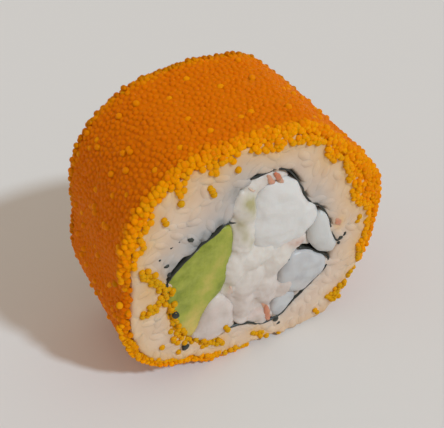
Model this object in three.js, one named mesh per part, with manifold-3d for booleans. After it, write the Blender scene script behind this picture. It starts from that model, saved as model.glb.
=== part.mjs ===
// One cut piece of an inside-out sushi roll (uramaki). Crab meat and avocado are wrapped in a sheet of nori,
// the nori is wrapped in rice, and the rice is rolled in small orange roe. The piece is a slice of a longer
// roll, so it has two cut faces and every layer runs through from one face to the other.
// Millimetres, +Z up. The roll's axis lies along Y, the front cut face looks along -Y, and the piece lies on
// its side on a flat spot of the roe coat. The origin is under the middle of the piece, at the floor.
import * as THREE from 'three';
import { mergeVertices } from 'three/addons/utils/BufferGeometryUtils.js';
import Module from 'manifold-3d';

// Driving sizes
const CUT_LENGTH = 19.4; // from cut face to cut face
const COAT_THICKNESS = 1.3; // roe coat, a little over one grain
const COAT_HEAP = 0.9; // how much thicker the coat is where roe heaps up, at the upper right
const RIM_ROUND = 1.0; // radius of the coat's rounded rims
const RIM_SETBACK = 1.7; // how far the coat's front rim stops short, low on the right, where rice swells out
const RICE_LIP = 1.1; // how far the rice swells outward over that short rim
const NORI_THICKNESS = 0.4;
const NORI_WRINKLE = 0.12; // half the depth of the wrinkles in the wet sheet
const GAP = 0.3; // clearance between neighbouring pieces
const CUT_ALLOWANCE = 3; // how far a cutting solid reaches past both cut faces
const LIP_LENGTH = 1.2; // how far back from the front face the rice's lip reaches
const FILLING_ROUND = 0.7; // length of the rounded end of each piece of filling
const FILLING_INSET = 0.2; // how far its shoulder lies behind the cut face
const ROLL_CENTRE = new THREE.Vector2(0, 20.6); // x and z of the roll's axis
const COAT_LUMPS = 0.28; // height of the gentle lumps in the coat
const RIM_STOPS = [0, 0.25, 0.6, 1]; // ring places on a rounded rim, in rim radii from the cut face
const SIDE_STOPS = [3.4, 6.6]; // ring places on the coat's side, in millimetres from the cut face
const COAT_STEPS = 74; // facets round the coat
const RICE_STEPS = 64; // facets round the rice
const NORI_STEPS = 104; // facets along the nori
const FILLING_STEPS = 20; // facets round each piece of filling

// Outlines, as the x and z of the few places each one passes through, anticlockwise seen from the front.
// The roll is nearly round, with a blunt shoulder at the upper right and a slack lower left side.
const ROLL_OUTLINE = [
  [20.8, 18.5], [20.4, 25.2], [17.8, 30.6], [13.1, 35.5], [8.2, 39.9], [2.2, 41.2], [-4.2, 41.1],
  [-10.4, 39.9], [-16.0, 35.5], [-18.9, 29.4], [-19.6, 22.0], [-20.3, 15.2], [-18.8, 8.2],
  [-15.8, 4.8], [-10.5, 2.7], [-5.0, -0.2], [2.0, -0.7], [9.0, -0.4], [15.0, 1.8], [18.7, 7.4], [20.5, 13.0],
];
// The nori starts as a flap folded into the filling, turns a tight corner and runs once round clockwise.
// It ends in a small curl in the rice, just past that corner.
const NORI_PATH = [
  [7.4, 18.1], [9.2, 17.3], [10.7, 15.7], [12.0, 14.7], [12.8, 14.0], [12.6, 12.9], [11.4, 11.3],
  [9.2, 9.3], [6.6, 7.2], [4.4, 5.2], [1.4, 5.2], [-1.4, 6.8], [-4.2, 7.2], [-7.0, 6.3], [-10.0, 8.0],
  [-12.3, 11.4], [-13.3, 16.0], [-13.5, 20.6], [-12.5, 23.0], [-9.4, 25.8], [-6.4, 27.6], [-4.2, 28.9],
  [-2.9, 31.6], [-1.6, 34.3], [1.2, 35.0], [4.0, 34.3], [6.0, 31.4], [7.8, 27.6], [10.4, 24.9],
  [12.0, 21.6], [12.9, 18.4], [14.0, 16.9], [15.0, 17.6],
];
const HOLLOW_START = 4; // the path's place where the closed turn begins, at the corner
const HOLLOW_END = 31; // and where it ends, before the curl

// Filling, in the order it was laid in: earlier pieces keep their shape and later ones fit round them.
// bulge is how far the piece stands out of each cut face; a negative one is a hollow.
const FILLING = [
  {
    name: 'crab_large', colour: '#d9d6d1', roughness: 0.38, bulge: 1.3,
    outline: [[9.6, 23.6], [8.7, 26.4], [6.6, 30.2], [4.4, 32.6], [1.4, 32.4], [-0.6, 29.6], [-1.2, 25.4],
      [0.4, 21.8], [4.0, 20.3], [7.8, 20.8]],
  },
  {
    name: 'crab_right', colour: '#cfcecb', roughness: 0.35, bulge: 0.8,
    outline: [[13.3, 15.4], [13.2, 18.6], [12.2, 21.8], [10.6, 24.0], [9.4, 23.0], [8.8, 20.4], [9.8, 18.0],
      [11.6, 16.0]],
  },
  {
    name: 'crab_grey', colour: '#bfc1c4', roughness: 0.32, bulge: 0.6,
    outline: [[11.9, 12.6], [11.4, 14.6], [9.6, 16.6], [7.2, 17.6], [5.2, 16.2], [4.5, 13.2], [5.4, 10.8],
      [8.0, 9.2], [10.4, 10.6]],
  },
  {
    name: 'avocado', colour: '#a3a64b', roughness: 0.45, bulge: 0.15,
    outline: [[-3.7, 25.4], [-4.2, 27.9], [-6.9, 27.3], [-10.2, 25.4], [-13.0, 22.4], [-13.2, 18.0],
      [-12.4, 12.6], [-10.8, 8.4], [-9.5, 9.8], [-8.2, 13.4], [-5.2, 16.6], [-4.4, 20.6]],
  },
  {
    name: 'crab_strip', colour: '#cdc8be', roughness: 0.4, bulge: 0.5,
    outline: [[-3.6, 9.6], [-4.4, 13.2], [-6.0, 15.0], [-7.8, 13.2], [-9.0, 10.2], [-10.2, 8.0], [-8.0, 5.8],
      [-4.2, 6.8]],
  },
  {
    name: 'crab_wedge', colour: '#b9bcbd', roughness: 0.35, bulge: 0.3,
    outline: [[7.0, 8.0], [6.4, 9.4], [4.6, 10.4], [3.5, 8.4], [3.9, 5.6]],
  },
  {
    name: 'crab_shreds', colour: '#d0c3bb', roughness: 0.5, bulge: -0.5,
    outline: [[13, 10], [13, 24], [8, 33], [1, 35.5], [-4.5, 32], [-9, 26], [-11, 16], [-9, 7], [-3, 5.5],
      [4, 4.5]],
  },
];

// Gentle lumps of a hand-pressed surface, roughly between -1 and 1.
function lumps(angle, along, seed) {
  const broad = Math.sin(3 * angle + seed) * Math.cos(0.21 * along + 2 * seed);
  const middling = 0.6 * Math.sin(8 * angle - 0.33 * along + 3 * seed);
  const small = 0.4 * Math.sin(17 * angle + 0.9 * along + 5 * seed);
  return (broad + middling + small) / 2;
}

// A smooth hump over an angle, 1 in the middle and 0 at half its width away.
function hump(angle, middleDegrees, halfWidthDegrees) {
  const off = THREE.MathUtils.radToDeg(angle) - middleDegrees;
  const away = Math.abs(off - 360 * Math.round(off / 360)) / halfWidthDegrees;
  return away < 1 ? 0.5 + 0.5 * Math.cos(Math.PI * away) : 0;
}

// The roe heaps up at the upper right, and is missing from the front rim low on the right.
const heap = (angle) => hump(angle, 24, 42);
const bareRim = (angle) => Math.min(1, 1.6 * hump(angle, -62, 58));
const riceLip = (angle) => Math.min(1, 1.6 * hump(angle, -62, 27));

function smoothCurve(places, closed) {
  const points = places.map(([x, z]) => new THREE.Vector3(x, 0, z));
  return new THREE.CatmullRomCurve3(points, closed, 'centripetal');
}

// The distance from a centre to a closed outline, as a function of the angle.
function radiusByAngle(places, centre) {
  const samples = smoothCurve(places, true).getSpacedPoints(720);
  const polar = samples.map((p) => ({
    angle: Math.atan2(p.z - centre.y, p.x - centre.x),
    radius: Math.hypot(p.x - centre.x, p.z - centre.y),
  })).sort((a, b) => a.angle - b.angle);
  return (angle) => {
    const turned = Math.atan2(Math.sin(angle), Math.cos(angle));
    const next = polar.findIndex((p) => p.angle >= turned);
    const b = polar[next < 0 ? 0 : next];
    const a = polar[next <= 0 ? polar.length - 1 : next - 1];
    const span = b.angle - a.angle;
    const share = span > 0 ? (turned - a.angle) / span : 0.5;
    return THREE.MathUtils.lerp(a.radius, b.radius, share);
  };
}

const rollRadius = radiusByAngle(ROLL_OUTLINE, ROLL_CENTRE);
const coatInside = (angle) => rollRadius(angle) - COAT_THICKNESS - COAT_HEAP * heap(angle);

// Moves every vertex of a closed three.js geometry by its uv place, merges the seams, and makes the faces
// point outward.
function reshape(geometry, place) {
  const position = geometry.getAttribute('position');
  const uv = geometry.getAttribute('uv');
  for (let i = 0; i < position.count; i += 1) {
    const p = place(uv.getX(i), uv.getY(i), new THREE.Vector3().fromBufferAttribute(position, i));
    position.setXYZ(i, p.x, p.y, p.z);
  }
  return outward(geometry);
}

function outward(geometry) {
  geometry.deleteAttribute('normal');
  geometry.deleteAttribute('uv');
  const merged = mergeVertices(geometry, 1e-4);
  const position = merged.getAttribute('position');
  const index = Array.from(merged.index.array);
  const [a, b, c] = [new THREE.Vector3(), new THREE.Vector3(), new THREE.Vector3()];
  const kept = [];
  let volume = 0;
  for (let i = 0; i < index.length; i += 3) {
    const [p, q, r] = index.slice(i, i + 3);
    if (p === q || q === r || r === p) continue;
    a.fromBufferAttribute(position, p);
    b.fromBufferAttribute(position, q);
    c.fromBufferAttribute(position, r);
    volume += a.dot(b.cross(c));
    kept.push(p, q, r);
  }
  if (volume < 0) {
    for (let i = 0; i < kept.length; i += 3) [kept[i], kept[i + 1]] = [kept[i + 1], kept[i]];
  }
  merged.setIndex(kept);
  return merged;
}

// The roe coat: a ring of rounded-rectangle section, pressed flat where the piece rests.
function coatGeometry() {
  const half = CUT_LENGTH / 2;
  const fromFace = [...RIM_STOPS.map((stop) => stop * RIM_ROUND), ...SIDE_STOPS, half];
  const outside = fromFace.map((distance) => -half + distance);
  const walk = []; // the section's corners: [1 outside or 0 inside, y]
  for (const y of outside) walk.push([1, y]);
  for (const y of outside.slice(0, -1).reverse()) walk.push([1, -y]);
  for (const share of [1, 0.4, -0.4, -1]) walk.push([0, share * half]);
  const ring = new THREE.TorusGeometry(1, 0.3, walk.length, COAT_STEPS);
  return reshape(ring, (u, v) => {
    const angle = 2 * Math.PI * (u % 1);
    const [side, y] = walk[Math.round(v * walk.length) % walk.length];
    const depth = Math.max(0, RIM_ROUND - (half - Math.abs(y)));
    const roundOff = RIM_ROUND - Math.sqrt(RIM_ROUND ** 2 - depth ** 2);
    const outer = rollRadius(angle) - roundOff + COAT_LUMPS * lumps(angle, y, 1);
    const radius = side ? outer : coatInside(angle);
    const setback = y < 0 ? RIM_SETBACK * bareRim(angle) * (-y / half) : 0;
    const x = ROLL_CENTRE.x + radius * Math.cos(angle);
    const z = ROLL_CENTRE.y + radius * Math.sin(angle);
    return new THREE.Vector3(x, y + setback, Math.max(z, side ? 0 : COAT_THICKNESS));
  });
}

// The nori, or with grow above 0 the larger solid that cuts room for it in its neighbours.
function noriGeometry(grow) {
  const path = smoothCurve(NORI_PATH, false);
  const halfWidth = CUT_LENGTH / 2 - 0.1 + (grow > 0 ? CUT_ALLOWANCE : 0);
  const halfThickness = NORI_THICKNESS / 2 + grow;
  const sheet = new THREE.BoxGeometry(1, 1, 1, NORI_STEPS, 1, 1);
  return reshape(sheet, (u, v, box) => {
    const share = box.x + 0.5;
    const middle = path.getPointAt(share);
    const tangent = path.getTangentAt(share);
    const across = new THREE.Vector3(-tangent.z, 0, tangent.x);
    const wrinkle = NORI_WRINKLE * Math.sin(95 * share) * Math.sin(31 * share + 1);
    const end = share < 1e-6 ? -grow : share > 1 - 1e-6 ? grow : 0;
    return middle
      .addScaledVector(across, 2 * halfThickness * box.y + wrinkle)
      .addScaledVector(tangent, end)
      .add(new THREE.Vector3(0, 2 * halfWidth * box.z, 0));
  });
}

// A bar of any outline along Y with a domed or dished front and back. edge.pull and edge.depth give how far
// the end's rim is drawn in and over what length, and edge.stops adds rings. section(u, y, share) gives the x
// and z at a place round the outline, share of the way out from its middle.
function barGeometry(halfLength, bulge, steps, edge, section) {
  const shares = [0, 0.36, 0.68, 0.9, 1];
  const stations = shares.map((share) => ({
    share: share === 1 ? 1 - edge.pull : share,
    y: -halfLength - bulge * (1 - share ** 2),
  }));
  stations.push({ share: 1, y: -halfLength + edge.depth });
  for (const y of edge.stops) stations.push({ share: 1, y });
  stations.push({ share: 1, y: 0 });
  const back = stations.filter((s) => s.y < 0).map((s) => ({ share: s.share, y: -s.y }));
  const all = [...stations, ...back.reverse()];
  const ball = new THREE.SphereGeometry(1, steps, all.length - 1);
  return reshape(ball, (u, v) => {
    const station = all[Math.round((1 - v) * (all.length - 1))];
    const turn = station.share === 0 ? 0 : u % 1;
    const p = section(turn, station.y, station.share);
    return new THREE.Vector3(p.x, station.y, p.y);
  });
}

function riceGeometry() {
  const half = CUT_LENGTH / 2;
  const lipBack = -half + LIP_LENGTH;
  const edge = { pull: 0.012, depth: 0.35, stops: [lipBack, lipBack + 0.2, -half / 2] };
  return barGeometry(half, 0.05, RICE_STEPS, edge, (u, y, share) => {
    const angle = 2 * Math.PI * u;
    const lip = y <= lipBack ? RICE_LIP * riceLip(angle) : 0;
    const radius = share * (coatInside(angle) - GAP + lip);
    const z = ROLL_CENTRE.y + radius * Math.sin(angle);
    const lowest = COAT_THICKNESS + GAP - lip;
    return new THREE.Vector2(ROLL_CENTRE.x + radius * Math.cos(angle), Math.max(z, lowest));
  });
}

// One piece of filling, or with grow above 0 the larger solid that cuts room for it in its neighbours. A
// seed from its outline gives each piece lumps of its own.
function fillingGeometry(piece, grow) {
  const curve = smoothCurve(piece.outline, true);
  const middle = new THREE.Vector2();
  for (const [x, z] of piece.outline) middle.add(new THREE.Vector2(x, z));
  middle.divideScalar(piece.outline.length);
  const seed = piece.outline.length + piece.outline[0][0];
  const half = CUT_LENGTH / 2 - FILLING_INSET + (grow > 0 ? CUT_ALLOWANCE : 0);
  const edge = { pull: grow > 0 ? 0 : 0.07, depth: FILLING_ROUND, stops: [] };
  return barGeometry(half, grow > 0 ? 0 : piece.bulge, FILLING_STEPS, edge, (u, y, share) => {
    const onEdge = curve.getPointAt(u);
    const tangent = curve.getTangentAt(u);
    const rim = new THREE.Vector2(onEdge.x + grow * tangent.z, onEdge.z - grow * tangent.x);
    const uneven = 1 + 0.012 * lumps(2 * Math.PI * u, grow > 0 ? 0 : y, seed);
    return middle.clone().add(rim.sub(middle).multiplyScalar(share * uneven));
  });
}

// The room inside the nori's closed turn, through and past both faces.
function hollowGeometry(grow) {
  const turn = NORI_PATH.slice(HOLLOW_START, HOLLOW_END + 1).reverse();
  const path = smoothCurve(turn, true);
  const middle = new THREE.Vector2(-0.5, 19);
  const edge = { pull: 0, depth: FILLING_ROUND, stops: [] };
  return barGeometry(CUT_LENGTH / 2 + CUT_ALLOWANCE, 0, NORI_STEPS, edge, (u, y, share) => {
    const p = path.getPointAt(u);
    const tangent = path.getTangentAt(u);
    const rim = new THREE.Vector2(p.x + grow * tangent.z, p.z - grow * tangent.x);
    return middle.clone().add(rim.sub(middle).multiplyScalar(share));
  });
}

const wasm = await Module();
wasm.setup();

function solid(geometry) {
  const vertProperties = new Float32Array(geometry.getAttribute('position').array);
  const triVerts = new Uint32Array(geometry.index.array);
  return new wasm.Manifold(new wasm.Mesh({ numProp: 3, vertProperties, triVerts }));
}

// The one whole body of a cut solid as a geometry, without crumbs cut free at thin corners.
function wholeBody(cut) {
  const bodies = cut.decompose().sort((a, b) => b.volume() - a.volume());
  const mesh = bodies[0].getMesh();
  const geometry = new THREE.BufferGeometry();
  geometry.setAttribute('position', new THREE.BufferAttribute(mesh.vertProperties, 3));
  geometry.setIndex(new THREE.BufferAttribute(mesh.triVerts, 1));
  return geometry;
}

const roll = new THREE.Group();

function addPiece(name, geometry, colour, roughness) {
  const material = new THREE.MeshStandardMaterial({ color: colour, roughness, metalness: 0 });
  const mesh = new THREE.Mesh(geometry, material);
  mesh.name = name;
  roll.add(mesh);
}

addPiece('roe_coat', coatGeometry(), '#cc6804', 0.35);
addPiece('nori', noriGeometry(0), '#2b2a26', 0.6);

const noriRoom = solid(noriGeometry(GAP));
const rice = solid(riceGeometry()).subtract(solid(hollowGeometry(GAP / 2))).subtract(noriRoom);
addPiece('rice', wholeBody(rice), '#d3c6b6', 0.45);

let taken = noriRoom;
const hollow = solid(hollowGeometry(-GAP / 2));
for (const piece of FILLING) {
  const bar = solid(fillingGeometry(piece, 0)).intersect(hollow).subtract(taken);
  addPiece(piece.name, wholeBody(bar), piece.colour, piece.roughness);
  taken = taken.add(solid(fillingGeometry(piece, GAP)));
}

export default roll;
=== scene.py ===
import math
import random

import bpy
import numpy as np
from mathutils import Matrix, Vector, noise
from mathutils.bvhtree import BVHTree
from mathutils.kdtree import KDTree


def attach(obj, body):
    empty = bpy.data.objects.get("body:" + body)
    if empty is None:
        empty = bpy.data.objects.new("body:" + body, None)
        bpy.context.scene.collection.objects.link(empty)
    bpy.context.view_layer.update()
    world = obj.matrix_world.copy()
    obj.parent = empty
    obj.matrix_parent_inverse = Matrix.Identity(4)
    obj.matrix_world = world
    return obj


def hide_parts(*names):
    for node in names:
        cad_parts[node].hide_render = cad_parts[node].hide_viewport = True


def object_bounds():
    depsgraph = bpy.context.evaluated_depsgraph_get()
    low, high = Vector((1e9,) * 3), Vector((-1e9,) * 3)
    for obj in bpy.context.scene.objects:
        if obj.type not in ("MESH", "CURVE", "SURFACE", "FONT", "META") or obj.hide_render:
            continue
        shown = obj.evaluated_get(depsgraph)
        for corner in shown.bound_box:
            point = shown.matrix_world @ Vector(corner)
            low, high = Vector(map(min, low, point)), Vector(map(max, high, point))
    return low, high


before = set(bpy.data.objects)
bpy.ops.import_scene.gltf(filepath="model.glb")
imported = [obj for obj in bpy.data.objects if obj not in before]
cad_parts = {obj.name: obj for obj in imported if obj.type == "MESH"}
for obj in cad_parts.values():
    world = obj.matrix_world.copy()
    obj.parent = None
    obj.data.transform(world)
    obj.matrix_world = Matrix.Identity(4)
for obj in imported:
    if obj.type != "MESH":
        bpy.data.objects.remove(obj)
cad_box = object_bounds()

MM = 0.001
FACE = 9.7  # millimetres from the middle of the roll to each cut face


def linear(colour):
    """An sRGB hex colour as linear red, green, blue and 1."""
    parts = [int(colour[i:i + 2], 16) / 255 for i in (1, 3, 5)]
    return [c / 12.92 if c <= 0.04045 else ((c + 0.055) / 1.055) ** 2.4 for c in parts] + [1.0]


def add_node(tree, kind, inputs, stops=(), **settings):
    """Adds a shader node with its settings, and sets or links its inputs. stops colours a colour ramp."""
    made = tree.nodes.new(kind)
    for name, value in settings.items():
        setattr(made, name, value)
    for key, value in inputs.items():
        if isinstance(value, bpy.types.NodeSocket):
            tree.links.new(value, made.inputs[key])
        else:
            made.inputs[key].default_value = value
    for i, (place, colour) in enumerate(stops):
        stop = made.color_ramp.elements[i] if i < 2 else made.color_ramp.elements.new(place)
        stop.position = place
        stop.color = linear(colour)
    return made


def new_material(name):
    """A new material, its node tree and its main shader."""
    made = bpy.data.materials.new(name)
    made.use_nodes = True
    return made, made.node_tree, made.node_tree.nodes["Principled BSDF"]


def set_inputs(shader, values):
    """Sets a shader's plain inputs by name."""
    for name, value in values.items():
        shader.inputs[name].default_value = value


def pick_only(piece):
    """Makes this piece the only one selected, and the active one."""
    bpy.ops.object.select_all(action="DESELECT")
    piece.select_set(True)
    bpy.context.view_layer.objects.active = piece


def apply_modifier(piece, kind, **settings):
    """Adds a modifier with its settings and applies it."""
    modifier = piece.modifiers.new(kind.lower(), kind)
    for name, value in settings.items():
        setattr(modifier, name, value)
    pick_only(piece)
    bpy.ops.object.modifier_apply(modifier=modifier.name)


def body_from(node, name, cell):
    """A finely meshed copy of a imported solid, in cells of that many millimetres, ready to be shaped."""
    piece = bpy.data.objects.new(name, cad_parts[node].data.copy())
    bpy.context.scene.collection.objects.link(piece)
    piece.data.materials.clear()
    pick_only(piece)
    bpy.ops.object.mode_set(mode="EDIT")
    bpy.ops.mesh.select_all(action="SELECT")
    bpy.ops.mesh.remove_doubles(threshold=1e-6)
    bpy.ops.object.mode_set(mode="OBJECT")
    apply_modifier(piece, "REMESH", mode="VOXEL", voxel_size=cell * MM, use_smooth_shade=True)
    apply_modifier(piece, "SMOOTH", factor=0.5, iterations=3)
    return piece


def places_of(piece):
    """The piece's vertex places in millimetres and its vertex normals, as two arrays."""
    count = len(piece.data.vertices)
    places, normals = np.empty(count * 3), np.empty(count * 3)
    piece.data.vertices.foreach_get("co", places)
    piece.data.vertex_normals.foreach_get("vector", normals)
    return places.reshape(-1, 3) / MM, normals.reshape(-1, 3)


def set_places(piece, places):
    piece.data.vertices.foreach_set("co", (places * MM).ravel())
    piece.data.update()


def lumps(places, size, seed, octaves=2):
    """Smooth noise from about -1 to 1 at each place. size is the lumps' width along x, y and z."""
    scaled = places / np.array(size) + seed * 17.3
    return np.array([noise.fractal(Vector(p), 1.0, 2.0, octaves) for p in scaled])


def swell(piece, amount):
    """Moves every vertex along its normal by amount(places), in millimetres."""
    places, normals = places_of(piece)
    set_places(piece, places + normals * amount(places)[:, None])


def cut_level(piece, level, waves, soft=0.12):
    """Trims a piece level at both cut faces, that many millimetres from its middle, with slight waves."""
    places, _ = places_of(piece)
    limit = level + waves * lumps(places, (2.5, 40, 2.5), 5)
    over = np.maximum(np.abs(places[:, 1]) - limit, 0)
    places[:, 1] = np.sign(places[:, 1]) * (np.minimum(np.abs(places[:, 1]), limit) + soft * (1 - np.exp(-over / soft)))
    set_places(piece, places)


def finish_piece(piece, material, node=None):
    """Gives a finished piece its material and its place in the frame."""
    piece.data.materials.clear()
    piece.data.materials.append(material)
    for face in piece.data.polygons:
        face.use_smooth = True
    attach(piece, "root")
    if node:
        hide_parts(node)


# Avocado flesh is an oily paste of fine cells. It shines softly and lets a little light in. It is yellow-green,
# with a paler streak down its middle, darker bruised patches and a soft yellow tip.
avocado_flesh, tree, shader = new_material("avocado_flesh")
place = add_node(tree, "ShaderNodeTexCoord", {}).outputs["Object"]
lean = add_node(tree, "ShaderNodeVectorMath", {0: place, 1: (1, 0, -0.375)}, operation="DOT_PRODUCT")
off_middle = add_node(tree, "ShaderNodeMath", {0: lean.outputs["Value"], 1: 14.4 * MM}, operation="ADD")
off_middle = add_node(tree, "ShaderNodeMath", {0: off_middle.outputs[0]}, operation="ABSOLUTE")
pale = add_node(tree, "ShaderNodeMapRange", {0: off_middle.outputs[0], 1: 0.2 * MM, 2: 2.2 * MM, 3: 0.26, 4: 0.0})
height = add_node(tree, "ShaderNodeSeparateXYZ", {0: place}).outputs[2]
below = add_node(tree, "ShaderNodeMapRange", {0: height, 1: 22 * MM, 2: 26 * MM, 3: 1.0, 4: 0.2})
pale = add_node(tree, "ShaderNodeMath", {0: pale.outputs[0], 1: below.outputs[0]}, operation="MULTIPLY")
tip = add_node(tree, "ShaderNodeMapRange", {0: height, 1: 9 * MM, 2: 15 * MM, 3: 0.5, 4: 0.0})
cloud = add_node(tree, "ShaderNodeTexNoise", {"Vector": place, "Scale": 0.55 / MM, "Detail": 4.0, "Roughness": 0.65})
tone = add_node(tree, "ShaderNodeMath", {0: cloud.outputs[0], 1: 0.8, 2: pale.outputs[0]}, operation="MULTIPLY_ADD")
tone = add_node(tree, "ShaderNodeMath", {0: tone.outputs[0], 1: tip.outputs[0]}, operation="ADD")
flesh = add_node(tree, "ShaderNodeValToRGB", {0: tone.outputs[0]},
                 stops=((0.26, "#818d25"), (0.5, "#a2a83e"), (0.95, "#cfb75f")))
streak_place = add_node(tree, "ShaderNodeMapping", {
    "Vector": place, "Rotation": (0, math.radians(20), 0), "Scale": (1 / MM, 0.4 / MM, 0.2 / MM)})
streak = add_node(tree, "ShaderNodeTexNoise", {"Vector": streak_place.outputs[0], "Scale": 1.8, "Detail": 4.0})
bump = add_node(tree, "ShaderNodeBump", {"Height": streak.outputs[0], "Strength": 0.5, "Distance": 0.2 * MM})
tree.links.new(flesh.outputs[0], shader.inputs["Base Color"])
tree.links.new(bump.outputs[0], shader.inputs["Normal"])
set_inputs(shader, {"Roughness": 0.4, "IOR": 1.46, "Subsurface Weight": 0.3, "Subsurface Scale": 0.4 * MM,
                    "Subsurface Radius": (0.9, 1.0, 0.25)})

avocado = body_from("avocado", "avocado_slice", 0.3)
swell(avocado, lambda p: 0.17 + 0.1 * lumps(p, (3.0, 5, 3.0), 1) + 0.06 * lumps(p, (0.9, 3, 0.9), 2)
      + 0.3 * np.exp(-((np.abs(p[:, 1]) - 9.1) / 0.4) ** 2))
cut_level(avocado, 9.5, 0.12)
finish_piece(avocado, avocado_flesh, "avocado")

# ---------------------------------------------------------------------------------------------------------
# Crab meat: five smooth lumps of cooked white leg meat, laid beside the avocado. The big one was squeezed
# proud of the cut faces when the roll was pressed. The fibres run along the roll.


def crab_material(name, colour, deep, inner, crown):
    """Cooked crab meat is wet, springy muscle: milky white, soft to light, with fine fibre ends and pink spots."""
    made, tree, shader = new_material(name)
    place = add_node(tree, "ShaderNodeTexCoord", {}).outputs["Object"]
    cloud = add_node(tree, "ShaderNodeTexNoise", {"Vector": place, "Scale": 0.42 / MM, "Detail": 3.0})
    tone = add_node(tree, "ShaderNodeValToRGB", {0: cloud.outputs[0]}, stops=((0.36, deep), (0.56, colour)))
    blush = add_node(tree, "ShaderNodeTexNoise", {"Vector": place, "Scale": 0.2 / MM, "Detail": 2.0})
    pink = add_node(tree, "ShaderNodeMapRange", {0: blush.outputs[0], 1: 0.57, 2: 0.72, 3: 0.0, 4: 0.55})
    mix = add_node(tree, "ShaderNodeMix", {0: pink.outputs[0], 6: tone.outputs[0], 7: linear(inner)}, data_type="RGBA")
    height = add_node(tree, "ShaderNodeSeparateXYZ", {0: place}).outputs[2]
    upper = add_node(tree, "ShaderNodeMapRange", {0: height, 1: 12 * MM, 2: 19 * MM})
    mix = add_node(tree, "ShaderNodeMix", {0: upper.outputs[0], 6: mix.outputs[2], 7: linear(crown)}, data_type="RGBA")
    for stain, shade in (("mashed", "#b2a97c"), ("rosy", "#c9a99a")):
        held = add_node(tree, "ShaderNodeAttribute", {}, attribute_name=stain).outputs["Fac"]
        mix = add_node(tree, "ShaderNodeMix", {0: held, 6: mix.outputs[2], 7: linear(shade)}, data_type="RGBA")
    fibre_place = add_node(tree, "ShaderNodeMapping", {"Vector": place, "Scale": (1 / MM, 0.15 / MM, 1 / MM)})
    fibre = add_node(tree, "ShaderNodeTexNoise", {"Vector": fibre_place.outputs[0], "Scale": 1.7, "Detail": 3.0})
    bump = add_node(tree, "ShaderNodeBump", {"Height": fibre.outputs[0], "Strength": 0.3, "Distance": 0.2 * MM})
    tree.links.new(mix.outputs[2], shader.inputs["Base Color"])
    tree.links.new(bump.outputs[0], shader.inputs["Normal"])
    set_inputs(shader, {"Roughness": 0.38, "IOR": 1.4, "Subsurface Weight": 0.4, "Subsurface Scale": 0.5 * MM,
                        "Subsurface Radius": (1.0, 0.75, 0.6)})
    return made


white_crab = crab_material("crab_white_meat", "#dcd9d5", "#d3cfca", "#dccfc8", "#dcd9d5")
clear_crab = crab_material("crab_clear_meat", "#c6c6c6", "#b4b3b4", "#cbc3c0", "#c4c3c3")
milky_crab = crab_material("crab_milky_meat", "#d0cfcc", "#c2c2c0", "#d2cac6", "#cfcecb")
shred_crab = crab_material("crab_shredded_meat", "#d4c7bf", "#c9bab0", "#d8bdb2", "#dcd4cb")

CRAB_LUMPS = {  # meat, how high its broad and its fine lumps are, and how far from the middle it is cut
    "crab_large": (white_crab, 0.34, 0.2, 10.35),
    "crab_right": (milky_crab, 0.2, 0.10, 10.1),
    "crab_grey": (clear_crab, 0.22, 0.14, 9.95),
    "crab_strip": (shred_crab, 0.25, 0.16, 9.9),
    "crab_wedge": (clear_crab, 0.16, 0.1, 9.7),
}
face_pieces = [avocado]
for seed, (node, (material, broad, fine, level)) in enumerate(CRAB_LUMPS.items()):
    lump = body_from(node, node + "_meat", 0.35)
    swell(lump, lambda p: 0.26 + broad * lumps(p, (4.0, 7.0, 4.0), seed + 3)
          + fine * lumps(p, (1.5, 4.0, 1.5), seed + 9)
          + 0.25 * np.exp(-((np.abs(p[:, 1]) - 9.2) / 0.5) ** 2))
    cut_level(lump, level, 0.25, 0.3)
    finish_piece(lump, material, node)
    face_pieces.append(lump)

# ---------------------------------------------------------------------------------------------------------
# Shredded crab: torn flakes of leg meat that fill the room between the lumps and the avocado. They are
# pressed into one soft mass that runs through, with the flakes' rounded ends showing at both cut faces.


def surface_finder(pieces):
    """A function that looks at the pieces straight on from the front (side -1) or back (side 1), at x and z
    in millimetres, and gives the y of what it meets and the normal there, or None."""
    points, faces = [], []
    for piece in pieces:
        start = len(points)
        points.extend(v.co.copy() for v in piece.data.vertices)
        faces.extend([start + i for i in face.vertices] for face in piece.data.polygons)
    finder = BVHTree.FromPolygons(points, faces)

    def look(x, z, side):
        hit, normal, _, _ = finder.ray_cast(Vector((x * MM, side * 0.03, z * MM)), Vector((0, -side, 0)))
        return (hit.y / MM, normal) if hit else None

    return look


def turned(along, up):
    """A turning matrix with its first axis along one direction and its third near another."""
    a = Vector(along).normalized()
    c = (Vector(up) - a * a.dot(Vector(up))).normalized()
    return np.array([a, c.cross(a), c]).T


def join_copies(name, shape, spots, tones):
    """One mesh of many copies of a small shape. spots are (3x3 turn and scale, place) in millimetres, and
    each copy carries its own tone, from 0 to 1, for its material."""
    verts, faces = shape
    all_verts = np.concatenate([verts @ turn.T + place for turn, place in spots])
    all_faces = [[i + n * len(verts) for i in face] for n in range(len(spots)) for face in faces]
    mesh = bpy.data.meshes.new(name)
    mesh.from_pydata((all_verts * MM).tolist(), [], all_faces)
    tone = mesh.attributes.new("tone", "FLOAT", "POINT")
    tone.data.foreach_set("value", np.repeat(np.array(tones, dtype=np.float32), len(verts)))
    piece = bpy.data.objects.new(name, mesh)
    bpy.context.scene.collection.objects.link(piece)
    return piece


def small_shape(maker, bend=0.0, taper=0.0, **settings):
    """A small primitive of radius 1 as (places, faces), bent upward and tapered along x."""
    bpy.ops.object.select_all(action="DESELECT")
    maker(radius=1.0, location=(0, 0, 0), **settings)
    seed_piece = bpy.context.view_layer.objects.active
    verts = np.array([v.co[:] for v in seed_piece.data.vertices])
    faces = [list(face.vertices) for face in seed_piece.data.polygons]
    bpy.data.meshes.remove(seed_piece.data)
    verts[:, 1:] *= (1 - taper * verts[:, :1] ** 2)
    verts[:, 2] += bend * verts[:, 0] ** 2
    return verts, faces


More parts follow.
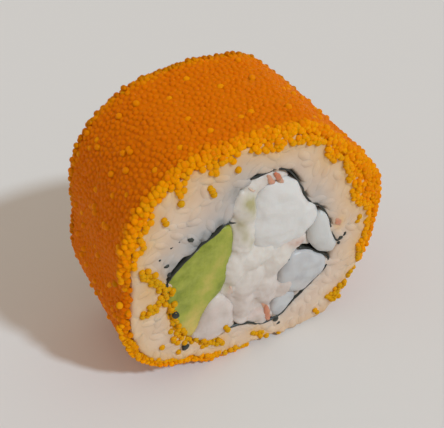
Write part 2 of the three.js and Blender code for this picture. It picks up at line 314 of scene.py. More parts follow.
dice = random.Random(41)
lying = small_shape(bpy.ops.mesh.primitive_uv_sphere_add, bend=0.1, taper=0.2, segments=12, ring_count=8)
lying = (lying[0][:, [2, 0, 1]], lying[1])  # the ball's poles become the flake's ends
shreds = body_from("crab_shreds", "crab_shreds_packed", 0.32)
look = surface_finder([shreds])
spots = []
BIG_FLAKES = [  # place across and up, lean in degrees, half length, half width, and how deep its middle lies
    (-1.7, 29.6, 100, 3.4, 1.6, 0.5), (-1.8, 24.6, 85, 4.2, 2.0, 0.7), (0.2, 20.4, 20, 4.0, 2.4, 0.7),
    (3.6, 18.4, 65, 4.0, 2.3, 0.6), (5.6, 20.4, 10, 2.6, 1.4, 0.3), (-0.8, 15.6, 60, 4.0, 2.4, 0.9),
    (2.0, 12.6, 100, 4.0, 2.4, 1.0), (-2.9, 19.6, 80, 4.0, 2.0, 0.8), (-1.6, 11.0, 90, 3.6, 2.2, 1.0),
    (5.0, 11.4, 60, 2.2, 1.4, 0.4),
]
for x, z, lean, length, width, rise in BIG_FLAKES:
    turn = turned((math.cos(math.radians(lean)), 0, math.sin(math.radians(lean))), (0, -1, 0))
    spots.append((turn * np.array([length, width, width * 0.6]), np.array([x, rise - FACE, z])))
for side in (-1, 1):
    while len(spots) < (50 if side < 0 else 100):
        x, z = dice.uniform(-7, 6.5), dice.uniform(5, 33)
        found = look(x, z, side)
        if not found or abs(found[0]) < 8.2:
            continue
        angle = dice.gauss(math.radians(75), 0.7)
        length, width = dice.uniform(1.6, 3.0), dice.uniform(0.6, 1.0)
        turn = turned((math.cos(angle), side * dice.uniform(-0.3, 0.1), math.sin(angle)), (0, side, 0))
        deep = dice.uniform(0.36, 0.52)
        spots.append((turn * np.array([length, width, width * 0.6]), np.array([x, found[0] - side * deep, z])))
flakes = join_copies("flakes", lying, spots, [0] * len(spots))
pick_only(shreds)
flakes.select_set(True)
bpy.ops.object.join()
apply_modifier(shreds, "REMESH", mode="VOXEL", voxel_size=0.26 * MM, use_smooth_shade=True)
apply_modifier(shreds, "SMOOTH", factor=0.5, iterations=7)
swell(shreds, lambda p: 0.16 + 0.14 * lumps(p, (2.0, 5.0, 2.0), 21) + 0.1 * lumps(p, (0.7, 2.5, 0.7), 22)
      + 0.2 * np.exp(-((p[:, 2] - 6.4) / 1.4) ** 2))
STAINS = {  # across, up, half width, half height and strength of avocado mashed in, and of red skin rubbed off
    "mashed": [(-1.5, 31.2, 1.0, 1.2, 1.0), (-0.9, 29.6, 0.7, 1.2, 0.7), (-2.7, 27.9, 0.9, 1.2, 0.55),
               (-2.1, 25.8, 0.6, 1.4, 0.5), (-1.1, 24.0, 0.5, 1.2, 0.5), (-4.3, 16.2, 0.7, 1.1, 0.7)],
    "rosy": [(6.8, 20.5, 1.3, 0.9, 1.0), (5.0, 21.2, 1.2, 0.6, 0.5), (-4.0, 15.2, 0.5, 1.1, 0.6),
             (2.0, 33.6, 1.2, 0.7, 0.5)],
}
places, _ = places_of(shreds)
ragged = 1 + 0.5 * lumps(places, (0.9, 3.0, 0.9), 23)
for stain, spots in STAINS.items():
    held = sum(strong * np.exp(-((places[:, 0] - x) / wide) ** 2 - ((places[:, 2] - z) / high) ** 2)
               for x, z, wide, high, strong in spots) * ragged * (places[:, 1] < 0)
    attribute = shreds.data.attributes.new(stain, "FLOAT", "POINT")
    attribute.data.foreach_set("value", np.clip(held, 0, 1).astype(np.float32))
finish_piece(shreds, shred_crab, "crab_shreds")
face_pieces.append(shreds)

# ---------------------------------------------------------------------------------------------------------
# Nori: one sheet of dried seaweed, softened by the rice. It starts as a flap folded into the filling at the
# right, runs round the filling once and ends in a small curl. Its cut edges are a little torn.
NORI_PATH = [
    (7.4, 18.1), (9.2, 17.3), (10.7, 15.7), (12.0, 14.7), (12.8, 14.0), (12.6, 12.9), (11.4, 11.3),
    (9.2, 9.3), (6.6, 7.2), (4.4, 5.2), (1.4, 5.2), (-1.4, 6.8), (-4.2, 7.2), (-7.0, 6.3), (-10.0, 8.0),
    (-12.3, 11.4), (-13.3, 16.0), (-13.5, 20.6), (-12.5, 23.0), (-9.4, 25.8), (-6.4, 27.6), (-4.7, 28.6),
    (-3.1, 28.1), (-2.5, 29.6), (-2.9, 31.8), (-1.7, 34.1), (1.2, 34.9), (4.0, 34.2), (6.0, 31.4),
    (7.8, 27.6), (10.4, 24.9), (12.0, 21.6), (12.9, 18.4), (14.0, 16.9), (15.0, 17.6),
]


def along_path(points, count):
    """Evenly spaced places on a smooth open curve through the points, and the curve's directions there."""
    p = np.array([points[0], *points, points[-1]], float)
    t = np.linspace(0, 1, 20, endpoint=False)[:, None]
    pieces = [0.5 * (2 * p[i] + (p[i + 1] - p[i - 1]) * t + (2 * p[i - 1] - 5 * p[i] + 4 * p[i + 1] - p[i + 2]) * t ** 2
                     + (3 * p[i] - p[i - 1] - 3 * p[i + 1] + p[i + 2]) * t ** 3) for i in range(1, len(p) - 2)]
    fine = np.concatenate([*pieces, p[-1:]])
    run = np.concatenate([[0], np.cumsum(np.linalg.norm(np.diff(fine, axis=0), axis=1))])
    even = np.linspace(0, run[-1], count)
    places = np.stack([np.interp(even, run, fine[:, k]) for k in (0, 1)], axis=1)
    way = np.gradient(places, axis=0)
    return places, way / np.linalg.norm(way, axis=1, keepdims=True)


NORI_COLUMNS, NORI_ROWS = 320, 36
bpy.ops.object.select_all(action="DESELECT")
bpy.ops.mesh.primitive_grid_add(x_subdivisions=NORI_COLUMNS - 1, y_subdivisions=NORI_ROWS - 1, size=1)
nori = bpy.context.view_layer.objects.active
nori.name = nori.data.name = "nori_sheet"
flat = np.array([v.co[:] for v in nori.data.vertices])
path, way = along_path(NORI_PATH, NORI_COLUMNS)
column = np.rint((flat[:, 0] + 0.5) * (NORI_COLUMNS - 1)).astype(int)
row = flat[:, 1] * 2
wave = lumps(np.stack([column * 0.3, row * 9.7, 0 * row], axis=1), (1.6, 5.0, 1.0), 31)
torn = lumps(np.stack([column * 0.3, np.sign(row) * 40, 0 * row], axis=1), (1.1, 1.0, 1.0), 32)
covered = np.exp(-((path[column, 0] + 2.6) ** 2 + (path[column, 1] - 31.8) ** 2) / 5.0)
sunk = (row < 0) * np.clip((-7 - path[column, 0]) / 2, 0, 1) * np.clip((20 - path[column, 1]) / 2, 0, 1)
flap = np.clip((30 - column) / 12, 0, 1)
proud = np.clip((path[column, 0] + 4.5) / 1.5, 0, 1) * np.clip((14.5 - path[column, 1]) / 2, 0, 1)
upper_left = np.clip((-3.5 - path[column, 0]) / 1.5, 0, 1) * np.clip((path[column, 1] - 21.5) / 1.5, 0, 1)
half_width = 9.58 + 0.1 * torn - 1.4 * covered - 0.8 * sunk - 0.3 * flap + 0.14 * proud + 0.2 * upper_left
across = np.stack([-way[column, 1], way[column, 0]], axis=1)
sheet_place = path[column] + across * (0.16 * wave)[:, None]
set_places(nori, np.stack([sheet_place[:, 0], row * half_width, sheet_place[:, 1]], axis=1))
apply_modifier(nori, "SOLIDIFY", thickness=0.23 * MM, offset=0.0)

# Nori is pressed laver: nearly black green, with a soft shine where it is wet and a fine pressed grain.
nori_laver, tree, shader = new_material("nori_laver")
place = add_node(tree, "ShaderNodeTexCoord", {}).outputs["Object"]
grain = add_node(tree, "ShaderNodeTexNoise", {"Vector": place, "Scale": 1.4 / MM, "Detail": 5.0})
green = add_node(tree, "ShaderNodeValToRGB", {0: grain.outputs[0]}, stops=((0.35, "#171a17"), (0.68, "#34382f")))
bump = add_node(tree, "ShaderNodeBump", {"Height": grain.outputs[0], "Strength": 0.5, "Distance": 0.08 * MM})
tree.links.new(green.outputs[0], shader.inputs["Base Color"])
tree.links.new(bump.outputs[0], shader.inputs["Normal"])
set_inputs(shader, {"Roughness": 0.45})
finish_piece(nori, nori_laver, "nori")
face_pieces.append(nori)

# ---------------------------------------------------------------------------------------------------------
# Rice: short-grain sushi rice, pressed round the nori in a thick ring. The core is the pressed mass. Over it at
# both cut faces lie whole grains, packed side by side and cut off level by the knife.
look_rice = surface_finder([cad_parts["rice"]])
BEARINGS = 360
ROLL_MIDDLE = 20.6  # millimetres from the table up to the roll's middle


def outer_edge(side):
    """How far the rice reaches from the roll's middle at each whole degree, seen from one side."""
    reach = np.zeros(BEARINGS)
    for i in range(BEARINGS):
        angle = math.radians(i)
        reach[i] = next((r for r in np.arange(23, 12, -0.1)
                         if look_rice(r * math.cos(angle), ROLL_MIDDLE + r * math.sin(angle), side)), 17.0)
    return reach


rice_reach = {side: outer_edge(side) for side in (-1, 1)}
nori_places = path[::2]


def reach_at(x, z, side):
    """Distance from the roll's middle, and how far the rice reaches in that direction."""
    bearing = np.degrees(np.arctan2(z - ROLL_MIDDLE, x)) % 360
    closed = np.append(rice_reach[side], rice_reach[side][0])
    return np.hypot(x, z - ROLL_MIDDLE), np.interp(bearing, np.arange(BEARINGS + 1), closed)


def from_nori(places):
    """How far each place is from the nori, and the direction away from it across the roll."""
    away = places[:, None, [0, 2]] - nori_places[None]
    far = np.hypot(away[..., 0], away[..., 1])
    nearest = far.argmin(axis=1)
    rows = np.arange(len(places))
    return far[rows, nearest], away[rows, nearest] / np.maximum(far[rows, nearest], 1e-6)[:, None]


rice_bed = body_from("rice", "rice_pressed", 0.42)
places, _ = places_of(rice_bed)
towards_face = np.clip((np.abs(places[:, 1]) - 9.0) / 0.6, 0, 1)
swell(rice_bed, lambda p: 0.26 - 0.3 * towards_face + 0.12 * lumps(p, (2.4, 2.4, 2.4), 41)
      + 0.15 * np.exp(-((p[:, 0] - 1.5) ** 2 + (p[:, 2] - 35.6) ** 2) / 6))
cut_level(rice_bed, FACE - 0.17, 0.08)

grain_shape = small_shape(bpy.ops.mesh.primitive_uv_sphere_add, bend=0.07, taper=0.12, segments=14, ring_count=10)
grain_shape = (grain_shape[0][:, [2, 0, 1]], grain_shape[1])
GRAIN_TRIES = 8000  # on each face
spots, tones = [], []
for side in (-1, 1):
    kept = []
    for _ in range(GRAIN_TRIES):
        x, z = dice.uniform(-20, 20), dice.uniform(0.6, 41)
        if not look_rice(x, z, side):
            continue
        angle = dice.uniform(0, math.pi)
        length, width = dice.uniform(2.3, 2.9), dice.uniform(1.2, 1.45)
        if any(math.hypot(x - a, z - b) < (width + r) * 0.62 for a, b, r in kept):
            continue
        if np.min(np.hypot(nori_places[:, 0] - x, nori_places[:, 1] - z)) < width * 0.6:
            continue
        kept.append((x, z, width))
        turn = turned((math.cos(angle), side * dice.uniform(-0.12, 0.12), math.sin(angle)), (0, side, 0))
        top = FACE + dice.uniform(0.0, 0.1)
        spots.append((turn * np.array([length, width, width * 0.86]), np.array([x, side * (top - width * 0.86), z])))
        tones.append(dice.random())
rice_grains = join_copies("rice_grains", grain_shape, spots, tones)
places, _ = places_of(rice_grains)
side = np.sign(places[:, 1])
for end in (-1, 1):
    here = np.where(side == end)[0]
    radius, limit = reach_at(places[here, 0], places[here, 2], end)
    pull = np.minimum(radius, limit + 0.15) / radius
    places[here, 0] *= pull
    places[here, 2] = ROLL_MIDDLE + (places[here, 2] - ROLL_MIDDLE) * pull
gap, away = from_nori(places)
near = np.maximum(0.2 - gap, 0)[:, None] * away
places[:, 0] += near[:, 0]
places[:, 2] = np.maximum(places[:, 2] + near[:, 1], 0.15)
set_places(rice_grains, places)

# Where the roe ends on the front face. The eggs hang over the rice in scallops at the top, lie in a heap at the
# upper right, and leave the rice bare at the lower right. On the back they end in an even band.
ROE_EDGE = [
    (-17.2, 26.6), (-16.7, 28.6), (-15.5, 29.8), (-16.3, 31.2), (-14.9, 33.0), (-14.2, 34.4), (-15.0, 36.0),
    (-13.3, 36.3), (-12.1, 37.4), (-10.5, 35.7), (-9.9, 38.2), (-7.6, 38.8), (-6.0, 37.3), (-5.3, 39.1),
    (-3.9, 38.6), (-2.6, 39.7), (-0.4, 39.0), (2.4, 37.9), (4.0, 38.2), (6.6, 37.7), (9.0, 36.5), (10.0, 34.0),
    (11.0, 33.0), (12.3, 33.1), (13.3, 31.0), (14.0, 29.0), (14.8, 27.2), (15.2, 25.2), (16.2, 23.6), (17.6, 22.3),
    (18.6, 20.0), (18.2, 18.6), (18.7, 17.0), (17.8, 14.6), (18.3, 12.2), (19.4, 9.0), (19.0, 6.0), (16.8, 3.0),
    (13.0, 0.6), (8.0, -0.8), (3.4, -0.2), (0.0, 0.4), (-3.6, 1.6), (-7.0, 3.0), (-10.2, 4.2), (-13.6, 5.6),
    (-16.2, 7.4), (-18.2, 9.4), (-19.6, 13.0), (-19.8, 17.6), (-19.6, 22.0), (-18.6, 25.2),
]
TRAILS = [  # the trails' two ends, how many eggs, and how far they stray
    ((-16.4, 25.6), (-13.5, 20.4), 110, 0.5), ((-13.3, 20.0), (-14.6, 18.2), 70, 0.8),
    ((-14.4, 18.6), (-16.7, 17.5), 60, 0.55), ((-13.1, 17.4), (-12.6, 12.6), 80, 0.45),
    ((-12.7, 12.6), (-11.7, 9.4), 110, 0.75), ((-11.2, 8.6), (-8.4, 6.4), 50, 0.5),
    ((-8.0, 6.0), (-5.4, 5.2), 60, 0.65), ((-4.8, 2.1), (-1.6, 0.9), 40, 0.5), ((0.2, 3.8), (2.6, 0.9), 30, 0.5),
    ((14.0, 5.2), (15.6, 3.4), 50, 0.75), ((17.7, 9.2), (15.6, 5.6), 40, 0.35), ((18.3, 12.8), (18.5, 10.2), 12, 0.35),
]
roe_edge, _ = along_path(ROE_EDGE + ROE_EDGE[:1], 420)
trail_places = np.concatenate([np.linspace(start, end, 12) for start, end, _, _ in TRAILS])


def past_edge(x, z, side):
    """Distance in millimetres past the roe's edge, more than nothing on the roe and less on bare rice."""
    if side > 0:
        radius, limit = reach_at(x, z, side)
        return radius - limit + 1.1 + 0.5 * noise.noise(Vector((x * 0.7, 9.0, z * 0.7)))
    away = np.hypot(roe_edge[:, 0] - x, roe_edge[:, 1] - z)
    i = int(away.argmin())
    ahead = roe_edge[(i + 1) % 419] - roe_edge[i - 1]
    cross = ahead[0] * (z - roe_edge[i, 1]) - ahead[1] * (x - roe_edge[i, 0])
    return float(away[i]) if cross > 0 else -float(away[i])


# Cooked rice is swollen starch: milky and a bit see-through, with a moist shine. Near the coat and round stray
# eggs it is yellower, partly a stain from the roe and partly painted orange glow standing in for light bounced
# from the roe. Near the nori it is grey, partly the dark nori showing through thin rice and partly painted shade
# in the groove beside it. Both are carried as attributes of the mesh.
# Spots of yellow on the front rice: partly a stain from the roe, partly painted orange glow of light from the roe.
YELLOW_STAIN_AND_GLOW_SPOTS = [  # across, up, half width, half height and strength
    (13.7, 20.6, 0.9, 1.4, 0.8), (-16.2, 21.4, 1.5, 2.2, 0.55), (-16.4, 15.5, 2.4, 5.0, 0.22),
]
for piece in (rice_bed, rice_grains):
    places, _ = places_of(piece)
    gap = np.concatenate([from_nori(part)[0] for part in np.array_split(places, 40)])
    # the grey reaches further from the nori at the upper left and the upper right, as painted shade there
    left = np.clip((4 - places[:, 0]) / 8, 0, 1) * np.clip((places[:, 2] - 18) / 6, 0, 1)
    right = 0.6 * np.exp(-((places[:, 0] - 9.5) / 3.5) ** 2 - ((places[:, 2] - 28) / 5) ** 2)
    dim = np.maximum(left, right)
    grey = np.clip(1.15 - gap / (1.6 + 3.4 * dim), 0, 1.15) * (0.35 + 0.65 * dim)
    grey *= 1 + 0.35 * lumps(places, (1.6, 3.0, 1.6), 42)
    at_face = np.where(np.abs(places[:, 1]) > 8.2)[0]
    # yellow near the roe: partly a stain from the roe, partly painted orange glow of light bounced from it
    yellow = np.zeros(len(places))
    yellow[at_face] = [math.exp(min(past_edge(x, z, 1 if y > 0 else -1), 0) / 2.1) for x, y, z in places[at_face]]
    front = at_face[places[at_face, 1] < 0]
    astray = np.array([np.hypot(*(trail_places - spot).T).min() for spot in places[front][:, [0, 2]]])
    yellow[front] = np.maximum(yellow[front], 0.9 * np.exp(-np.maximum(astray - 0.4, 0) / 1.1))
    for x, z, wide, high, strong in YELLOW_STAIN_AND_GLOW_SPOTS:
        yellow[front] += strong * np.exp(-((places[front, 0] - x) / wide) ** 2 - ((places[front, 2] - z) / high) ** 2)
    for name, values in (("grey", np.clip(grey, 0, 1.4)), ("yellow", np.clip(yellow, 0, 1))):
        attribute = piece.data.attributes.new(name, "FLOAT", "POINT")
        attribute.data.foreach_set("value", values.astype(np.float32))

rice_starch, tree, shader = new_material("rice_starch")
place = add_node(tree, "ShaderNodeTexCoord", {}).outputs["Object"]
grey = add_node(tree, "ShaderNodeAttribute", {}, attribute_name="grey").outputs["Fac"]
yellow = add_node(tree, "ShaderNodeAttribute", {}, attribute_name="yellow").outputs["Fac"]
cloud = add_node(tree, "ShaderNodeTexNoise", {"Vector": place, "Scale": 0.4 / MM, "Detail": 3.0})
starch = add_node(tree, "ShaderNodeValToRGB", {0: cloud.outputs[0]}, stops=((0.38, "#d6beab"), (0.62, "#dfcab7")))
# grey near the nori: partly the dark nori showing through the rice, partly painted shade
nori_grey_and_shade = add_node(tree, "ShaderNodeMix", {0: grey, 6: starch.outputs[0], 7: linear("#b2b1b1")}, data_type="RGBA")
# the darkest grey, right beside the nori, is painted shadow
deep = add_node(tree, "ShaderNodeMapRange", {0: grey, 1: 0.82, 2: 1.2, 3: 0.0, 4: 0.85})
nori_grey_and_shade = add_node(tree, "ShaderNodeMix", {0: deep.outputs[0], 6: nori_grey_and_shade.outputs[2], 7: linear("#7e7f7d")},
                     data_type="RGBA")
# yellow near the roe: partly stain, partly painted orange glow of light bounced from the roe
stain_and_glow = add_node(tree, "ShaderNodeMath", {0: yellow, 1: 0.82}, operation="MULTIPLY")
stain_and_glow_colour = add_node(tree, "ShaderNodeMix", {0: stain_and_glow.outputs[0], 6: nori_grey_and_shade.outputs[2], 7: linear("#e3b470")},
                 data_type="RGBA")
tree.links.new(stain_and_glow_colour.outputs[2], shader.inputs["Base Color"])
speck = add_node(tree, "ShaderNodeTexNoise", {"Vector": place, "Scale": 1.1 / MM, "Detail": 3.0})
bump = add_node(tree, "ShaderNodeBump", {"Height": speck.outputs[0], "Strength": 0.15, "Distance": 0.1 * MM})
tree.links.new(bump.outputs[0], shader.inputs["Normal"])
set_inputs(shader, {"Roughness": 0.42, "IOR": 1.4, "Subsurface Weight": 0.4, "Subsurface Scale": 0.3 * MM,
                    "Subsurface Radius": (1.0, 0.8, 0.6)})
finish_piece(rice_bed, rice_starch, "rice")
finish_piece(rice_grains, rice_starch)
face_pieces += [rice_bed, rice_grains]

# ---------------------------------------------------------------------------------------------------------
# Roe: tiny orange fish eggs, rolled on in a layer one egg deep. A soft bed of eggs and their jelly lies next to
# the rice, and whole eggs lie side by side all over it and round both rims.
EGG = 0.92  # millimetres across
roe_bed = body_from("roe_coat", "roe_bed", 0.4)
swell(roe_bed, lambda p: -0.24 + 0.08 * lumps(p, (1.5, 1.5, 1.5), 51))

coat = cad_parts["roe_coat"].data
coat.calc_loop_triangles()
corners = np.array([[coat.vertices[i].co[:] for i in t.vertices] for t in coat.loop_triangles]) / MM
edge_a, edge_b = corners[:, 1] - corners[:, 0], corners[:, 2] - corners[:, 0]
facing = np.cross(edge_a, edge_b)
area = np.linalg.norm(facing, axis=1) / 2
facing /= np.maximum(area[:, None] * 2, 1e-9)
outward = corners.mean(axis=1) - np.array([0, 0, ROLL_MIDDLE])
outward[:, 1] = 0
outward /= np.linalg.norm(outward, axis=1, keepdims=True)
shown = np.where((facing * outward).sum(axis=1) > -0.3)[0]
rng = np.random.default_rng(7)
outside = BVHTree.FromPolygons(corners[shown].reshape(-1, 3).tolist(),
                               [[3 * i, 3 * i + 1, 3 * i + 2] for i in range(len(shown))])


def spread_over_coat(tries, spacing, rounds):
    """Places all over the outside of the coat. They start at random, then push each other an even egg apart."""
    picks = rng.choice(shown, size=tries, p=area[shown] / area[shown].sum())
    a, b = rng.random(tries), rng.random(tries)
    flip = a + b > 1
    a[flip], b[flip] = 1 - a[flip], 1 - b[flip]
    points = corners[picks, 0] + a[:, None] * edge_a[picks] + b[:, None] * edge_b[picks]
    cells, kept = {}, []
    for point in points:
        cell = tuple((point // spacing).astype(int))
        near = [q for i in (-1, 0, 1) for j in (-1, 0, 1) for k in (-1, 0, 1)
                for q in cells.get((cell[0] + i, cell[1] + j, cell[2] + k), ())]
        if all(np.dot(point - q, point - q) > spacing ** 2 for q in near):
            cells.setdefault(cell, []).append(point)
            kept.append(point)
    kept = np.array(kept)
    for _ in range(rounds):
        tree = KDTree(len(kept))
        for i, point in enumerate(kept):
            tree.insert(point, i)
        tree.balance()
        moved = kept.copy()
        for i, point in enumerate(kept):
            for other, j, far in tree.find_range(point, 0.9 * EGG):
                if j != i:
                    moved[i] += (point - other) / max(far, 0.05) * (0.9 * EGG - far) * 0.3
        kept = np.array([outside.find_nearest(Vector(point))[0] for point in moved])
    return kept


laid_places = spread_over_coat(36000, 0.62, 6)
ways = np.array([outside.find_nearest(Vector(point))[1] for point in laid_places])
tree = KDTree(len(laid_places))
for i, point in enumerate(laid_places):
    tree.insert(point, i)
tree.balance()
egg_shape = small_shape(bpy.ops.mesh.primitive_ico_sphere_add, subdivisions=2)
eggs = {"front": [], "back": []}
for point, way in zip(laid_places, ways):
    around = sum((Vector(ways[j]) for _, j, _ in tree.find_range(point, 1.8)), Vector())
    lay = np.array(around.normalized())
    bearing = math.degrees(math.atan2(point[2] - ROLL_MIDDLE, point[0])) % 360
    # low at the front the coat is bare
    if 272 < bearing < 324 and point[1] < -5.5 + 1.2 * noise.noise(Vector(point * 0.6)):
        continue
    radius = EGG / 2 * rng.uniform(0.9, 1.1)
    centre = point - way * (radius - rng.uniform(-0.04, 0.08))
    centre[2] = max(centre[2], radius)
    # the paler band at each rim reaches further in at the lower left, as painted light where that rim lies in shade,
    # and less far at the left, as painted shade on the shaded left side
    wide = 2.2 * math.exp(-((bearing - 214) / 14) ** 2) - 2.0 * math.exp(-((bearing - 182) / 16) ** 2)
    rim = min(max((abs(point[1]) - 7.0 + wide) / 3.2, 0), 1)
    # one egg in fifty is painted paler, as painted glints on the coat
    tone = 0.03 + 0.4 * rim + rng.uniform(0, 0.18) + 0.3 * (rng.random() < 0.02)
    squash = np.diag(radius * (1 + rng.uniform(-0.05, 0.05, 3)))
    eggs["front" if centre[1] < 0 else "back"].append((squash, centre, tone, lay))

for _ in range(420):  # a few eggs lie on top of the layer, most of them along the front rim at the upper right
    i = int(rng.integers(len(laid_places)))
    point, way = laid_places[i], ways[i]
    bearing = math.degrees(math.atan2(point[2] - ROLL_MIDDLE, point[0])) % 360
    crowded = point[1] < -7.5 and (bearing < 50 or bearing > 338)
    if (not crowded and rng.random() > 0.3) or abs(point[0]) > 20.5 or not 1.2 < point[2] < 41.0 or 272 < bearing < 330:
        continue
    radius = EGG / 2 * rng.uniform(0.9, 1.05)
    eggs["front" if point[1] < 0 else "back"].append((np.diag([radius] * 3), point - way * (radius - 0.34), 0.35, way))

# Fish eggs are a thin skin over clear orange oil. Light wanders from egg to egg, so a packed layer is shaded
# more by the coat's form than by each egg, with a small glint on every one. Eggs that lie alone look yellow.
# tone says how alone an egg is, and lay is the way out of the layer it lies in.
roe_skin, tree, shader = new_material("roe_egg_skin")
tone = add_node(tree, "ShaderNodeAttribute", {}, attribute_name="tone").outputs["Fac"]
orange = add_node(tree, "ShaderNodeValToRGB", {0: tone},
                  stops=((0.0, "#e17300"), (0.2, "#e67800"), (0.5, "#f89d00"), (1.0, "#cf9a12")))
own = add_node(tree, "ShaderNodeNewGeometry", {}).outputs["Normal"]
lay = add_node(tree, "ShaderNodeAttribute", {}, attribute_name="lay").outputs["Vector"]
blend = add_node(tree, "ShaderNodeMix", {0: 0.55, 4: own, 5: lay}, data_type="VECTOR")
spread = add_node(tree, "ShaderNodeVectorMath", {0: blend.outputs[1]}, operation="NORMALIZE")
tree.links.new(orange.outputs[0], shader.inputs["Base Color"])
tree.links.new(spread.outputs[0], shader.inputs["Normal"])
set_inputs(shader, {"Roughness": 0.5, "IOR": 1.38, "Specular IOR Level": 0.03, "Coat Weight": 0.1,
                    "Coat Roughness": 0.12, "Coat IOR": 1.34, "Subsurface Weight": 0.4,
                    "Subsurface Scale": 0.35 * MM, "Subsurface Radius": (1.0, 0.35, 0.04)})


def lay_eggs(name, group):
    """Joins a group of eggs, given as (shape, place, tone, lay), into one piece of the coat."""
    piece = join_copies(name, egg_shape, [(g[0], g[1]) for g in group], [g[2] for g in group])
    attribute = piece.data.attributes.new("lay", "FLOAT_VECTOR", "POINT")
    lays = np.repeat([g[3] for g in group], len(egg_shape[0]), axis=0)
    attribute.data.foreach_set("vector", lays.astype(np.float32).ravel())
    finish_piece(piece, roe_skin)


finish_piece(roe_bed, roe_skin, "roe_coat")
for end, group in eggs.items():
    half = len(group) // 2
    lay_eggs("roe_eggs_" + end, group[:half])
    lay_eggs("roe_eggs_" + end + "_more", group[half:])

# Eggs on the cut faces: a thick ragged band that the knife dragged in over the rice, and strays. On the front
# there is a fork at the left and a trail down the avocado's side.
look = surface_finder(face_pieces + [roe_bed])
STRAYS = [(-3.1, 37.1), (-6.9, 35.7), (-6.6, 35.1), (-6.4, 34.5), (-10.8, 34.9), (-13.1, 33.2), (-12.9, 32.6),
          (-16.0, 29.8), (17.2, 20.4), (17.0, 19.6), (-14.8, 9.3), (-12.4, 6.8), (-4.9, 8.4), (-4.6, 7.7),
          (4.9, 0.7), (5.5, 0.2), (11.3, 2.7), (11.8, 1.9)]
wanted = {-1: list(STRAYS), 1: []}
for start, end, count, stray in TRAILS:
    for share in np.linspace(0, 1, count):
        x, z = np.array(start) * (1 - share) + np.array(end) * share
        wanted[-1].append((x + dice.gauss(0, stray * 0.6), z + dice.gauss(0, stray * 0.6)))
for _ in range(34):
    angle, radius = dice.uniform(0, 2 * math.pi), dice.uniform(15, 18.5)
    wanted[1].append((radius * math.cos(angle), ROLL_MIDDLE + radius * math.sin(angle)))
BAND_TRIES = 26000  # on each face
WIDE_TRIES = 12000  # the first of them keep the wider spacing, and the rest fill the gaps
loose, laid = [], {-1: [], 1: []}


def lay_on_face(x, z, side, tone, spacing, lay):
    """Lays one egg on the cut face, unless another lies there or there is nothing under it."""
    if any((x - a) ** 2 + (z - b) ** 2 < spacing ** 2 for a, b in laid[side]):
        return
    found = look(x, z, side)
    if not found or abs(found[0]) < 5:
        return
    radius = EGG / 2 * dice.uniform(0.9, 1.1)
    laid[side].append((x, z))
    z = max(z, radius)
    height = max(abs(found[0]), 8.9) + radius * dice.uniform(-0.25, 0.25)
    loose.append((np.diag([radius] * 3), np.array([x, side * height, z]), tone, lay))


for side in (-1, 1):
    for x, z in wanted[side]:
        lay_on_face(x, z, side, dice.uniform(0.85, 1.0), 0.52, (0, 0, 0))
    for i in range(BAND_TRIES):
        x, z = dice.uniform(-21, 21), dice.uniform(0.5, 41.5)
        past = past_edge(x, z, side)
        if past > 0 and past < 5:
            tone = 0.72 - 0.34 * min(past / 1.2, 1) + dice.uniform(-0.1, 0.1)
            lay_on_face(x, z, side, tone, 0.62 if i < WIDE_TRIES else 0.46, (0, side * 0.7, 0))
lay_eggs("roe_eggs_on_faces", loose)

# ---------------------------------------------------------------------------------------------------------
# Crumbs: torn bits of nori along the sheet's cut edge, and red flakes of crab skin on the filling. The knife
# left them on the front face.
CRUMBS = [(-12.5, 15.3, 0.7), (-11.3, 7.5, 0.75), (-9.7, 28.3, 0.5), (4.0, 4.7, 0.6), (14.3, 17.4, 0.55),
          (14.9, 17.9, 0.4), (14.2, 16.4, 0.35), (-13.5, 21.4, 0.45), (-12.9, 23.4, 0.5), (-12.3, 28.0, 0.25),
          (-11.2, 28.5, 0.2), (-13.2, 25.2, 0.4), (-14.0, 26.6, 0.2), (5.4, 17.2, 0.35), (4.4, 3.6, 0.35)]
rough = small_shape(bpy.ops.mesh.primitive_ico_sphere_add, subdivisions=2)
spots = []
for x, z, size in CRUMBS:
    found = look(x, z, -1)
    y = found[0] if found else -FACE
    turn = turned((dice.uniform(-1, 1), 0.1, dice.uniform(-1, 1)), (0, -1, 0.2))
    lift = 0.3 if x < -11 and z < 16 else -0.05
    spots.append((turn * np.array([size, size * 0.7, size * 0.4]), np.array([x, y - lift, z])))
nori_crumbs = join_copies("nori_crumbs", rough, spots, [0] * len(spots))
swell(nori_crumbs, lambda p: 0.16 * lumps(p, (0.5, 0.5, 0.5), 61))
finish_piece(nori_crumbs, nori_laver)

crab_skin, tree, shader = new_material("crab_red_skin")
place = add_node(tree, "ShaderNodeTexCoord", {}).outputs["Object"]
tone = add_node(tree, "ShaderNodeAttribute", {}, attribute_name="tone").outputs["Fac"]
cloud = add_node(tree, "ShaderNodeTexNoise", {"Vector": place, "Scale": 0.9 / MM, "Detail": 2.0})
paleness = add_node(tree, "ShaderNodeMath", {0: cloud.outputs[0], 1: 0.5, 2: tone}, operation="MULTIPLY_ADD")
red = add_node(tree, "ShaderNodeValToRGB", {0: paleness.outputs[0]},
               stops=((0.2, "#c1704e"), (0.6, "#d09072"), (1.2, "#dcbca8")))
tree.links.new(red.outputs[0], shader.inputs["Base Color"])
set_inputs(shader, {"Roughness": 0.4, "IOR": 1.4, "Subsurface Weight": 0.4, "Subsurface Scale": 0.8 * MM})
FLAKES = [  # two ends, half width, and how pale
    ((1.6, 10.4), (2.2, 7.6), 0.45, 0.45), ((2.1, 8.8), (2.7, 5.2), 0.6, 0.25), ((1.3, 34.2), (2.2, 32.6), 0.5, 0.45),
    ((2.3, 34.4), (3.1, 33.0), 0.42, 0.15), ((2.9, 33.3), (3.6, 31.9), 0.42, 0.5),
    ((-4.1, 17.0), (-3.5, 14.6), 0.22, 0.8), ((13.1, 21.8), (13.8, 20.2), 0.6, 0.35),
    ((-1.3, 33.2), (-0.6, 32.6), 0.2, 0.9),
]
spots, tones = [], []
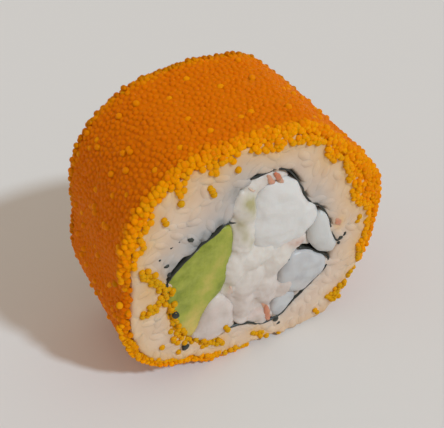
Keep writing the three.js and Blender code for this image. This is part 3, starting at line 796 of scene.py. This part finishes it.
for (x0, z0), (x1, z1), width, pale in FLAKES:
    tones.append(pale)
    x, z = (x0 + x1) / 2, (z0 + z1) / 2
    found = look(x, z, -1)
    y = found[0] if found else -FACE
    turn = turned((x1 - x0, 0, z1 - z0), (0, -1, 0))
    spots.append((turn * np.array([math.hypot(x1 - x0, z1 - z0) / 2 + 0.2, width, 0.22]), np.array([x, y + 0.1, z])))
flakes = join_copies("crab_red_flakes", lying, spots, tones)
swell(flakes, lambda p: 0.08 * lumps(p, (0.5, 0.5, 0.5), 62))
finish_piece(flakes, crab_skin)

# ---------------------------------------------------------------------------------------------------------
# Floor, light and camera: a pale matt table, a broad key light from the front right, and the viewing angle.
bpy.ops.object.select_all(action="DESELECT")
bpy.ops.mesh.primitive_plane_add(size=3.0)
floor = bpy.context.view_layer.objects.active
floor.name = "floor"
table_paint, _, shader = new_material("table_matt_paint")
set_inputs(shader, {"Base Color": linear("#e1e0de"), "Roughness": 0.75})
floor.data.materials.append(table_paint)

world = bpy.data.worlds.new("soft_room")
world.use_nodes = True
world.node_tree.nodes["Background"].inputs[0].default_value = (1.0, 0.86, 0.73, 1.0)
world.node_tree.nodes["Background"].inputs[1].default_value = 0.52
bpy.context.scene.world = world
bpy.ops.object.light_add(type="SUN")
key = bpy.context.view_layer.objects.active
key.data.energy = 1.75
key.data.color = (0.74, 0.88, 1.0)
key.data.angle = math.radians(5)
key.rotation_euler = Vector((0.36, -0.59, 0.72)).to_track_quat("Z", "Y").to_euler()
bpy.context.scene.view_settings.view_transform = "Standard"

low, high = [Vector(corner) for corner in cad_box]
middle = (low + high) / 2 + Vector((-0.35, 0, -0.25)) * MM
azimuth, elevation, distance = math.radians(-27.9), math.radians(43.2), 108.7 * MM
back = Vector((math.sin(azimuth) * math.cos(elevation), -math.cos(azimuth) * math.cos(elevation), math.sin(elevation)))
bpy.ops.object.camera_add(location=middle + back * distance)
camera = bpy.context.view_layer.objects.active
camera.rotation_euler = back.to_track_quat("Z", "Y").to_euler()
camera.data.lens = 60.8
camera.data.sensor_width = 36
camera.data.clip_start = 0.01
bpy.context.scene.camera = camera

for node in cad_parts.values():
    node.select_set(False)
